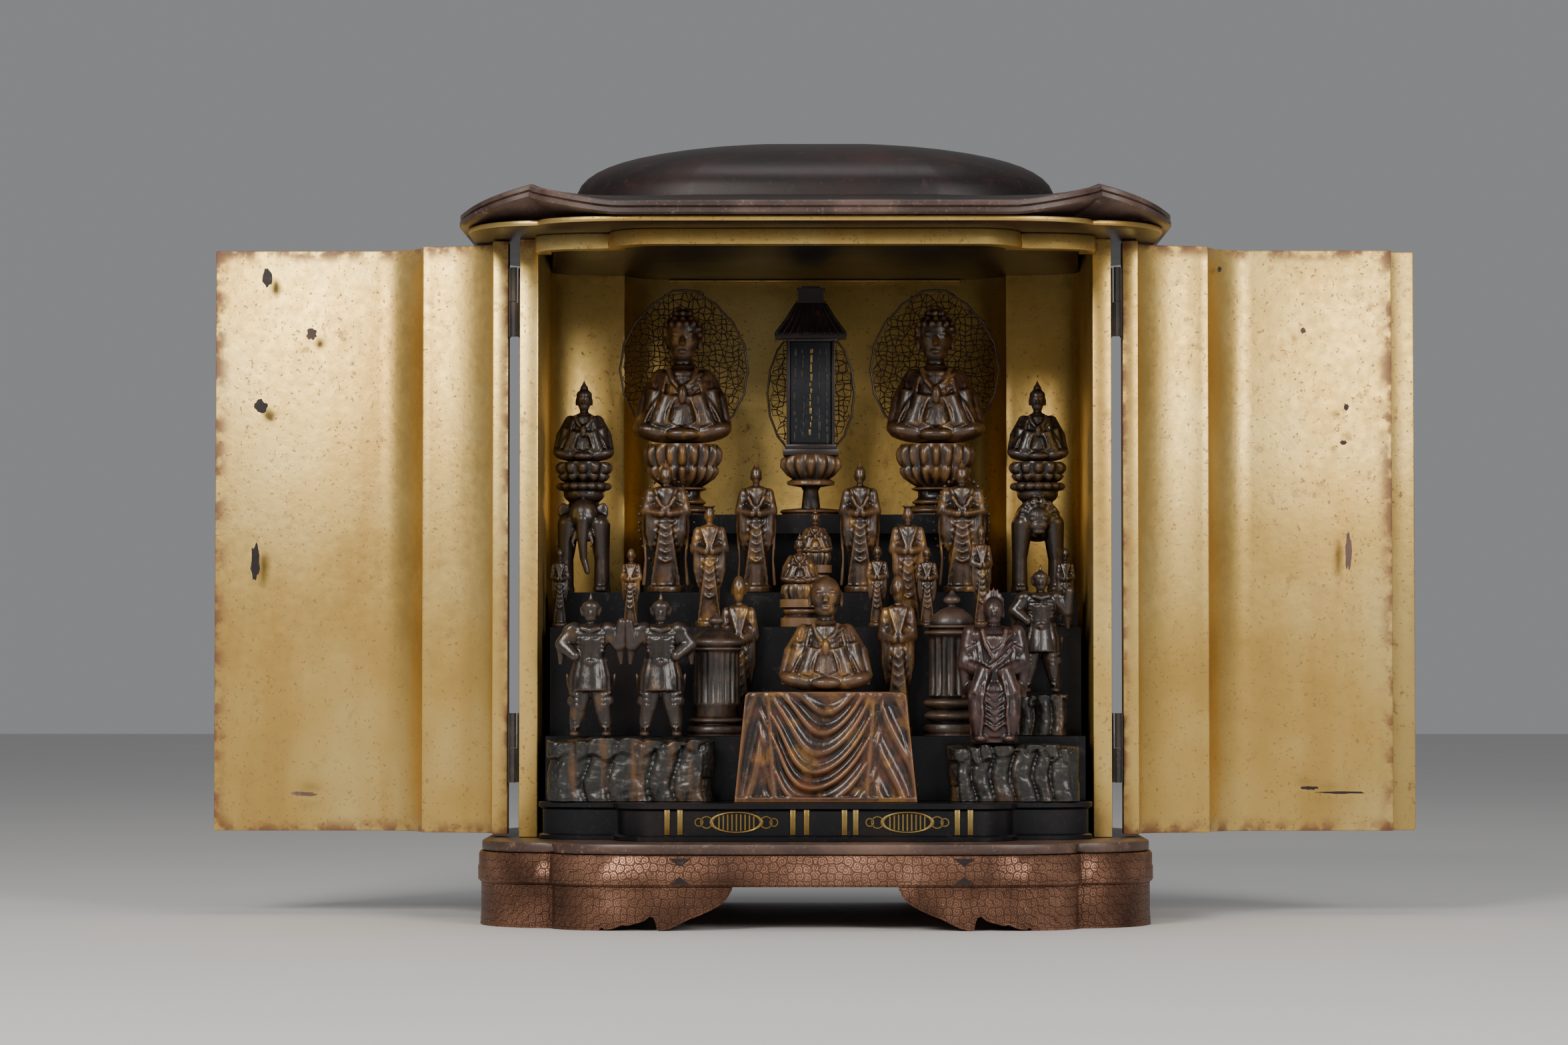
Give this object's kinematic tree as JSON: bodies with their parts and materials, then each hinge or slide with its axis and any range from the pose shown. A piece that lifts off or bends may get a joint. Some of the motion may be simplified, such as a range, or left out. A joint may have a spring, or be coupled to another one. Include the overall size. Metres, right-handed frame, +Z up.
{
  "type": "buddhist altar",
  "caption": "Portable wooden shrine cabinet with lobed corners, two hinged doors, domed roof and carved figures on steps inside.",
  "frame": {"origin": "centre of the floor rectangle under the feet, midway between the open doors", "axes": "+X to the viewer's right, -Y towards the viewer (the open front), +Z up"},
  "size_m": [0.784, 0.357, 0.5],
  "materials": {
    "gold_leaf": "aged gold leaf over lacquered wood",
    "brown_lacquer": "worn dark brown lacquer, semi-gloss",
    "black_lacquer": "black lacquer, semi-gloss, gilt details",
    "copper_sheathing": "engraved copper-brown sheathing, worn",
    "hinge_iron": "dark iron",
    "amber_gilding": "carved wood, amber and brown patina with worn gilding",
    "dark_patina": "carved wood, dark glossy patina",
    "rock_pigment": "carved wood painted as rock, grey-green with ochre streaks"
  },
  "bodies": {
    "cabinet": {"altar_steps": "black_lacquer", "attendant_left": "amber_gilding", "attendant_right": "amber_gilding", "base_band": "copper_sheathing", "base_plate": "brown_lacquer", "bodhisattva_far_left": "amber_gilding", "bodhisattva_far_right": "amber_gilding", "bodhisattva_near_left": "amber_gilding", "bodhisattva_near_right": "amber_gilding", "buddha_left": "amber_gilding", "buddha_right": "amber_gilding", "cabinet_walls": "gold_leaf", "column_left": "dark_patina", "column_right": "dark_patina", "cornice": "gold_leaf", "dais": "black_lacquer", "disciple_mid_right": "amber_gilding", "disciple_near_right": "amber_gilding", "disciple_outer_left": "amber_gilding", "disciple_outer_right": "amber_gilding", "draped_throne": "amber_gilding", "elephant_rider": "dark_patina", "foot_back_left": "copper_sheathing", "foot_back_right": "copper_sheathing", "foot_front_left": "copper_sheathing", "foot_front_right": "copper_sheathing", "front_lintel": "gold_leaf", "guardian_inner_left": "dark_patina", "guardian_outer_left": "dark_patina", "guardian_right": "dark_patina", "halo_left": "dark_patina", "halo_right": "dark_patina", "hinge_left_high_jamb": "hinge_iron", "hinge_left_low_jamb": "hinge_iron", "hinge_right_high_jamb": "hinge_iron", "hinge_right_low_jamb": "hinge_iron", "lion_rider": "dark_patina", "lotus_left": "dark_patina", "lotus_right": "dark_patina", "official_left": "amber_gilding", "official_right": "amber_gilding", "page_far_left": "dark_patina", "page_far_right": "dark_patina", "rock_left": "rock_pigment", "rock_right": "rock_pigment", "roof": "brown_lacquer", "roofed_tablet": "dark_patina", "seated_monk": "amber_gilding", "small_image_lower": "amber_gilding", "small_image_upper": "amber_gilding", "tablet_halo": "dark_patina", "top_shelf": "black_lacquer", "wrathful_deity": "dark_patina"},
    "left_door": {"door_left": "gold_leaf", "hinge_left_high_door": "hinge_iron", "hinge_left_low_door": "hinge_iron"},
    "right_door": {"door_astragal": "gold_leaf", "door_right": "gold_leaf", "hinge_right_high_door": "hinge_iron", "hinge_right_low_door": "hinge_iron"}
  },
  "joints": [
    {"name": "left_door_hinge", "type": "hinge", "parent": "cabinet", "child": "left_door", "pos_m": [-0.1922, -0.062, 0], "axis": [0, 0, 1], "range_deg": [0, 180]},
    {"name": "right_door_hinge", "type": "hinge", "parent": "cabinet", "child": "right_door", "pos_m": [0.1922, -0.062, 0], "axis": [0, 0, -1], "range_deg": [0, 180]}
  ]
}
